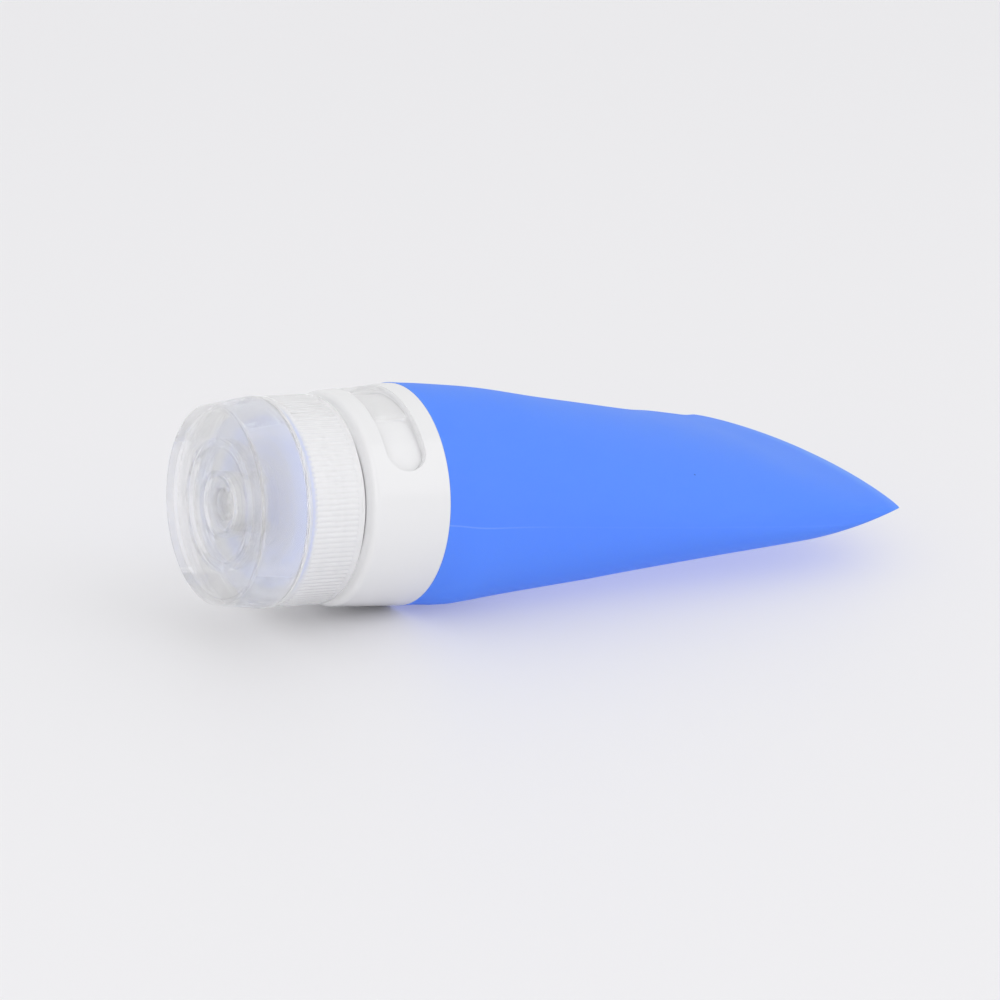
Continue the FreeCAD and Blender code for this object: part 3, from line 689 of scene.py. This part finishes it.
class BOTTLE_OT_tube(bpy.types.Operator):
    """Soft silicone tube with its neck, its lip and its sealed flat tail"""

    bl_idname = "bottle.tube"
    bl_label = "Silicone tube"

    def execute(self, context):
        table = sizes()
        wall = table.tube_wall
        length = table.tube_length + SHOULDER
        outside = tube_rows(0, TAIL_HEIGHT, length, SHOULDER, TUBE_ROWS)
        inside = tube_rows(wall, TAIL_HEIGHT / 2, length - TAIL_SEAL - wall, SHOULDER - wall, TUBE_ROWS // 2)
        neck = soften(SOFT_NECK, closed=False)[1:-1]
        rings = outside[::-1] + [round_ring(*spot) for spot in neck] + inside
        piece = ring_loft("silicone_tube", rings, strips=(0, len(rings) - 1))
        settle(piece, "bottle", "blue_silicone", "tube_body", LOFT_DEGREES)
        return {"FINISHED"}


# Neck, label ring and threads

THREAD_STEPS = 96
THREAD_RUN_IN = 0.25
RIDGE_END = 0.02 * MM
RIDGE_SINK = 0.15 * MM
RIDGE_EDGE = 0.14 * MM
RIDGE_FOOT_HALF = 0.75 * MM
RIDGE_EDGE_HALF = 0.42 * MM
RIDGE_CREST_HALF = 0.24 * MM

HARD_NECK = [
    (16.3, 0.2), (20.6, 0.2, 0.3), (20.6, 1.6, 0.3), (18, 1.6, 0.3), (18, 17.3, 0.1), (18.9, 17.3, 0.2),
    (18, 18.3, 0.2), (18, 28.3, 0.4), (16.3, 28.3, 0.3)]
LABEL_RING = [
    (18.05, 1.65), (20.7, 1.65, 0.2), (20.7, 15.1, 0.2), (18.05, 15.1), (18.05, 14.2), (19.8, 14.2, 0.3),
    (19.8, 2.55, 0.3), (18.05, 2.55)]


def thread(name, root, crest, start, end):
    """Right-hand ridge, thinned out at both ends; a crest inside the root gives an inner thread."""
    pitch = sizes().thread_pitch
    rows = round((end - start) / pitch * THREAD_STEPS)
    outward = math.copysign(1, crest - root)
    rings = []
    for row in range(rows + 1):
        run_in = min(row, rows - row) / (THREAD_RUN_IN * THREAD_STEPS)
        height = abs(crest - root) * ease(run_in) + RIDGE_END
        corners = [(-RIDGE_SINK, RIDGE_FOOT_HALF), (height - RIDGE_EDGE, RIDGE_EDGE_HALF),
                   (height, RIDGE_CREST_HALF)]
        corners += [(rise, -half) for rise, half in reversed(corners)]
        angle, along = TURN * row / THREAD_STEPS, start + pitch * row / THREAD_STEPS
        ring = []
        for rise, shift in corners:
            radius = root + outward * rise
            ring.append(Vector((radius * math.cos(angle), radius * math.sin(angle), along + shift)))
        rings.append(ring)
    return ring_loft(name, rings, poles=(0, rows))


class BOTTLE_OT_neck(bpy.types.Operator):
    """Hard threaded neck with its flange and snap bead, and the bare ring behind the window"""

    bl_idname = "bottle.neck"
    bl_label = "Neck and label ring"

    def execute(self, context):
        neck = turned("threaded_neck_fine", soften(HARD_NECK))
        settle(neck, "bottle", "white_plastic", "threaded_neck")
        ridge = thread("neck_thread", root=18 * MM, crest=19.1 * MM, start=20 * MM, end=27.4 * MM)
        settle(ridge, "bottle", "white_plastic", sharp=LOFT_DEGREES)
        label = turned("label_ring_fine", soften(LABEL_RING))
        settle(label, "bottle", "label_plastic", "label_ring")
        return {"FINISHED"}


# Collar and pane

COLLAR_BORE = 18.2
COLLAR_INSIDE = 20.9
COLLAR_ROOM_END = 15.3
BEND_STEPS = 14
BEND_DEGREES = 89
WINDOW_CUTS = 44

# Levels of a window block: height above the collar's cone and growth of the outline there, in millimetres.
WINDOW_CUT = [(-4, 0), (-0.12, 0), (-0.06, 0.0156), (-0.0156, 0.06), (0.02, 0.126), (2, 0.126)]
WINDOW_GLAZING = [(-1.5, 0.02), (-0.16, 0.02), (-0.12, 0), (-0.11, -0.04)]


def window_block(name, levels):
    """Long block with round ends, wrapped round the collar's cone, with the outline of each level."""
    table = sizes()
    middle = table.window_rear + table.window_width / 2
    mean_radius = (table.collar_radius + table.collar_front) / 2
    slope = (table.collar_front - table.collar_radius) / table.collar_length
    half_width = table.window_width / 2
    reach = table.window_angle / 2 * mean_radius - half_width
    bends = [BEND_DEGREES * step / BEND_STEPS for step in range(BEND_STEPS + 1)]
    stops = [(-reach, math.radians(bend - BEND_DEGREES)) for bend in bends[:-1]]
    stops += [(-reach + 2 * reach * step / WINDOW_CUTS, 0) for step in range(WINDOW_CUTS + 1)]
    stops += [(reach, math.radians(bend)) for bend in bends[1:]]
    rings = []
    for core, angle in stops:
        ring = []
        for side, order in ((-1, levels), (1, levels[::-1])):
            for height, growth in order:
                half = half_width + growth * MM
                around = (core + half * math.sin(angle)) / mean_radius
                along = middle + side * half * math.cos(angle)
                radius = table.collar_radius + slope * along + height * MM
                ring.append(Vector((radius * math.cos(around), radius * math.sin(around), along)))
        rings.append(ring)
    return ring_loft(name, rings, lids=(0, len(rings) - 1))


class BOTTLE_OT_collar(bpy.types.Operator):
    """White collar with its long window, and the clear pane that fills the window"""

    bl_idname = "bottle.collar"
    bl_label = "Collar and pane"

    def execute(self, context):
        table = sizes()
        rear, front = in_mm(table.collar_radius), in_mm(table.collar_front)
        length = in_mm(table.collar_length)
        collar = turned("collar_shell", soften([
            (COLLAR_INSIDE, 0, 0.3), (rear, 0, 0.12), (front, length, 1.5), (COLLAR_BORE, length, 0.3),
            (COLLAR_BORE, COLLAR_ROOM_END, 0.3), (COLLAR_INSIDE, COLLAR_ROOM_END, 0.5)], steps=8))
        combine(collar, window_block("window_cut", WINDOW_CUT), "DIFFERENCE")
        settle(collar, "collar", "white_plastic", "window_collar")
        pane = window_block("window_glazing", WINDOW_GLAZING)
        settle(pane, "collar", "clear_plastic", "window_pane")
        return {"FINISHED"}


# Screw cap and hinge

CAP_STEPS = 960
RIB_START = 20.35 * MM
RIB_END = 29.95 * MM
RIB_FADE = 0.2 * MM
RIB_FREE = math.radians(18)
FURROW_SHARE = 0.42
SKIRT_MATCH = 0.01 * MM
SKIRT_REAR = 18.9
SKIRT_ROWS = (20.3, 20.45, 20.6, 29.7, 29.85, 30.0)
DECK = 31.4
CAP_TOP_AND_INSIDE = [
    (7.2, DECK), (6.55, 31.65), (6.35, 32.4), (5.1, 38.7, 0.45), (3.4, 38.7, 0.35), (3.4, 36.3, 0.1),
    (4.3, 36.3, 0.1), (4.3, 30.1, 0.3), (11.9, 30.1, 0.2), (11.9, 27.9, 0.2), (12.7, 27.9, 0.25),
    (12.7, 30.1, 0.25), (19.4, 30.1, 0.5), (19.4, SKIRT_REAR, 0.2)]

HINGE_ALONG = 29.5 * MM
KNUCKLE_RADIUS = 1.7 * MM
STUB_RADIUS = 0.9 * MM
BORE_RADIUS = 0.95 * MM
EAR_SPAN = (4.9 * MM, 7.1 * MM)
STUB_SPAN = (3.1 * MM, 6 * MM)
KNUCKLE_HALF = 4.7 * MM
BORE_HALF = 6 * MM
EAR_EDGE = 0.25 * MM
STUB_EDGE = 0.15 * MM
KNUCKLE_EDGE = 0.2 * MM

# Arcs about the pin: start and sweep in degrees, and steps.
EAR_ARC = (-50, 130, 12)
KNUCKLE_ARC = (180, 180, 16)
EAR_FOOT = [(19.9, 31.35), (19.9, 25.8), (21.2, 25.8)]
HINGE_NOTCH = [(20.2, 27.5), (25, 27.5), (25, 33), (20.2, 33)]


def hinge_pin():
    """Middle of the hinge pin: across and along the bottle's axis."""
    return Vector((sizes().hinge_offset, HINGE_ALONG))


def cap_profile():
    """Outline of the cap: up the skirt's outside, over the deck and the nozzle, and back on the inside."""
    radius = in_mm(sizes().skirt_radius)
    skirt = [(radius, along) for along in SKIRT_ROWS]
    return soften([(radius, SKIRT_REAR, 0.4), *skirt, (radius, DECK, 0.3), *CAP_TOP_AND_INSIDE])


def rib_mask(across, along):
    """One where the skirt carries ribs, nought elsewhere, with a short run between."""
    if abs(across - sizes().skirt_radius) >= SKIRT_MATCH:
        return 0
    return min(1, max(0, min(along - RIB_START, RIB_END - along) / RIB_FADE))


def groove_depth(angle):
    """Depth of the grip grooves at an angle: low round furrows, none beside the hinge."""
    table = sizes()
    pitch = (TURN - 2 * RIB_FREE) / (table.rib_count - 1)
    turn = (angle - math.pi / 2) % TURN
    if turn < RIB_FREE - pitch / 2 or turn > TURN - RIB_FREE + pitch / 2:
        return 0
    offset = abs((turn - RIB_FREE + pitch / 2) % pitch - pitch / 2) / (pitch * FURROW_SHARE)
    return table.rib_depth * (0.5 + 0.5 * math.cos(math.pi * min(1, offset)))


class BOTTLE_OT_cap(bpy.types.Operator):
    """Screw cap with grip ribs, nozzle, seal, inner thread and hinge ears"""

    bl_idname = "bottle.cap"
    bl_label = "Screw cap"

    def execute(self, context):
        angles = [TURN * step / CAP_STEPS for step in range(CAP_STEPS)]
        rings = []
        for across, along in cap_profile():
            mask = rib_mask(across, along)
            ring = []
            for angle in angles:
                radius = across - mask * groove_depth(angle)
                ring.append(Vector((radius * math.cos(angle), radius * math.sin(angle), along)))
            rings.append(ring)
        cap = ring_loft("ribbed_cap", rings, joined=True)
        inner = EAR_SPAN[0]
        combine(cap, plate("notch", points(HINGE_NOTCH), -inner, inner), "DIFFERENCE")
        settle(cap, "cap", "milky_plastic", "screw_cap", RIB_DEGREES)
        ridge = thread("cap_thread", root=19.4 * MM, crest=18.35 * MM, start=22 * MM, end=29 * MM)
        settle(ridge, "cap", "milky_plastic", sharp=LOFT_DEGREES)
        for name, side in (("hinge_ear_up", 1), ("hinge_ear_low", -1)):
            settle(self.hinge_ear(name, side), "cap", "milky_plastic")
        return {"FINISHED"}

    def hinge_ear(self, name, side):
        """Rounded ear on the skirt, with a stub pin on its inner face."""
        pin = hinge_pin()
        outline = points(EAR_FOOT) + arc(pin, KNUCKLE_RADIUS, *EAR_ARC)
        ear = plate(name, outline, *(reach * side for reach in EAR_SPAN), EAR_EDGE)
        stub = plate("stub", circle(pin, STUB_RADIUS), *(reach * side for reach in STUB_SPAN), STUB_EDGE)
        combine(ear, stub, "UNION")
        return ear


# Valve

VALVE_SEAT = 36.3
VALVE_STEPS = 96
SLIT_MIDDLE = 1
SLIT_LENGTH = 3.6
SLIT_WIDTH = 0.2
SLIT_HEIGHT = 4

# The dome's corners have their second number from the valve's seat.
VALVE_DOME = [
    (0.02, 0.9), (1.2, 0.75), (2.2, 0.25), (2.5, -0.4), (2.5, -0.95), (4.25, -0.95, 0.15),
    (4.25, -0.05, 0.15), (3.1, -0.05, 0.2), (3.1, 0.5, 0.2), (2.3, 1.05), (1.2, 1.4), (0.02, 1.5)]
RETAINER = [
    (3.15, 32.05, 0.2), (3.7, 32.05, 0.1), (4.25, 32.6, 0.1), (4.25, 35.25, 0.1), (3.15, 35.25, 0.2)]


class BOTTLE_OT_valve(bpy.types.Operator):
    """Slit valve in the nozzle and the ring that holds it"""

    bl_idname = "bottle.valve"
    bl_label = "Valve"

    def execute(self, context):
        dome = [(across, VALVE_SEAT + rise, *rounding) for across, rise, *rounding in VALVE_DOME]
        profile = soften(dome, closed=False)
        valve = turned("valve_dome", profile, VALVE_STEPS, joined=False, poles=(0, len(profile) - 1))
        for name, wide, deep in (("slit_a", SLIT_LENGTH, SLIT_WIDTH), ("slit_b", SLIT_WIDTH, SLIT_LENGTH)):
            bpy.ops.object.select_all(action="DESELECT")
            bpy.ops.mesh.primitive_cube_add(size=1, location=(0, 0, (VALVE_SEAT + SLIT_MIDDLE) * MM))
            blade = bpy.context.object
            blade.name = name
            blade.data.transform(Matrix.Diagonal((wide * MM, deep * MM, SLIT_HEIGHT * MM, 1)))
            combine(valve, blade, "DIFFERENCE")
        settle(valve, "valve", "clear_silicone", "slit_valve")
        retainer = turned("retainer_ring", soften(RETAINER), VALVE_STEPS)
        settle(retainer, "valve", "milky_plastic", "valve_retainer")
        return {"FINISHED"}


# Lid

LID_WALL = 1.3
LID_START = 31.7
LID_UNDER = 40.15
LID_RINGS = [
    (5.8, LID_UNDER, 0.25), (5.8, 37.65, 0.2), (6.8, 37.65, 0.2), (6.8, LID_UNDER, 0.3),
    (11.8, LID_UNDER, 0.3), (11.8, 37.15, 0.3), (13.3, 37.15, 0.3), (13.3, LID_UNDER, 0.3)]
ARM_INSIDE = [(20.75, 34.6), (20.75, 31.75), (20.5, 31.3)]
ARM_OUTSIDE = [(23.9, 30.9), (23.2, 32.2), (21.6, 34.4)]


class BOTTLE_OT_lid(bpy.types.Operator):
    """Clear flip lid with the rings under its plate, its arm and its hinge knuckle"""

    bl_idname = "bottle.lid"
    bl_label = "Flip lid"

    def execute(self, context):
        table = sizes()
        rear, front, top = in_mm(table.lid_rear), in_mm(table.lid_front), in_mm(LID_FRONT)
        profile = soften([
            (0.02, LID_UNDER), *LID_RINGS, (front - LID_WALL, LID_UNDER, 0.6),
            (rear - LID_WALL, LID_START, 0.2), (rear, LID_START, 0.3), (front, top, 0.35),
            (0.02, top)], closed=False)
        lid = turned("clear_lid", profile, joined=False, poles=(0, len(profile) - 1))
        pin = hinge_pin()
        outline = points(ARM_INSIDE) + arc(pin, KNUCKLE_RADIUS, *KNUCKLE_ARC) + points(ARM_OUTSIDE)
        combine(lid, plate("lid_arm", outline, -KNUCKLE_HALF, KNUCKLE_HALF, KNUCKLE_EDGE), "UNION")
        combine(lid, plate("pin_bore", circle(pin, BORE_RADIUS), -BORE_HALF, BORE_HALF), "DIFFERENCE")
        settle(lid, "lid", "clear_plastic", "flip_lid")
        return {"FINISHED"}


# Stage

FLOOR_SIZE = 12
WORLD_STRENGTH = 0.87
LAMP_DISTANCE = 3
LAMP_WIDTH = 1.7
LAMP_HEIGHT = 2.4
LAMPS = (("softbox", (0.496, -0.66, 0.564), 9), ("fill", (-0.6, -0.6, 0.53), 17))
CAMERA_TURN = math.radians(31.59)
CAMERA_RISE = math.radians(18.91)
CAMERA_DISTANCE = 0.8383
CAMERA_TARGET = (-0.00481, 0, 0.01693)
CAMERA_LENS = 144
CAMERA_SENSOR = 36
CAMERA_CLIP = (0.01, 50)


class BOTTLE_OT_stage(bpy.types.Operator):
    """Pale floor, soft light and the camera at the photograph's angle"""

    bl_idname = "bottle.stage"
    bl_label = "Stage"

    def execute(self, context):
        bpy.ops.object.select_all(action="DESELECT")
        bpy.ops.mesh.primitive_plane_add(size=FLOOR_SIZE)
        floor = context.object
        floor.name = floor.data.name = "floor"
        floor.data.materials.append(moulded_material(
            "pale floor", colours().floor, dust_colour=(0.8, 0.8, 0.82), dust_amount=0,
            grain=200, bump=0, rough=0.55, uneven=0.05))
        for name, direction, power in LAMPS:
            self.light(name, Vector(direction), power)
        world = bpy.data.worlds.new("studio")
        context.scene.world = world
        world.use_nodes = True
        back = world.node_tree.nodes["Background"]
        back.inputs["Color"].default_value = (1, 1, 1, 1)
        back.inputs["Strength"].default_value = WORLD_STRENGTH
        context.scene.view_settings.view_transform = "Standard"
        self.camera(context)
        return {"FINISHED"}

    def light(self, name, direction, power):
        """Soft rectangular lamp that faces the bottle."""
        bpy.ops.object.light_add(type="AREA")
        lamp = bpy.context.object
        lamp.name = lamp.data.name = name
        lamp.data.shape = "RECTANGLE"
        lamp.data.size, lamp.data.size_y = LAMP_WIDTH, LAMP_HEIGHT
        lamp.data.energy = power
        lamp.location = direction.normalized() * LAMP_DISTANCE
        lamp.rotation_euler = (-direction).to_track_quat("-Z", "Y").to_euler()

    def camera(self, context):
        """Long lens, at the angle fitted to the photograph."""
        level = math.cos(CAMERA_RISE)
        back = Vector((-math.sin(CAMERA_TURN) * level, -math.cos(CAMERA_TURN) * level, math.sin(CAMERA_RISE)))
        bpy.ops.object.camera_add(location=Vector(CAMERA_TARGET) + back * CAMERA_DISTANCE)
        camera = context.object
        camera.name = camera.data.name = "photo camera"
        camera.rotation_euler = (-back).to_track_quat("-Z", "Y").to_euler()
        camera.data.lens = CAMERA_LENS
        camera.data.sensor_width = CAMERA_SENSOR
        camera.data.clip_start, camera.data.clip_end = CAMERA_CLIP
        context.scene.camera = camera


class BOTTLE_PT_panel(bpy.types.Panel):
    """Sidebar panel that lists the bottle's pieces"""

    bl_idname = "BOTTLE_PT_panel"
    bl_label = "Travel bottle"
    bl_space_type = "VIEW_3D"
    bl_region_type = "UI"
    bl_category = "Bottle"

    def draw(self, context):
        for operator in OPERATORS:
            self.layout.operator(operator.bl_idname)


OPERATORS = (BOTTLE_OT_tube, BOTTLE_OT_neck, BOTTLE_OT_collar, BOTTLE_OT_cap, BOTTLE_OT_valve,
             BOTTLE_OT_lid, BOTTLE_OT_stage)
CLASSES = (BottleSizes, BottleColours, *OPERATORS, BOTTLE_PT_panel)


def register():
    for item in CLASSES:
        bpy.utils.register_class(item)
    bpy.types.Scene.bottle_sizes = PointerProperty(type=BottleSizes)
    bpy.types.Scene.bottle_colours = PointerProperty(type=BottleColours)


def unregister():
    del bpy.types.Scene.bottle_colours
    del bpy.types.Scene.bottle_sizes
    for item in reversed(CLASSES):
        bpy.utils.unregister_class(item)


def main():
    register()
    for operator in OPERATORS:
        getattr(bpy.ops.bottle, operator.bl_idname.split(".")[1])()


if __name__ == "__main__":
    main()
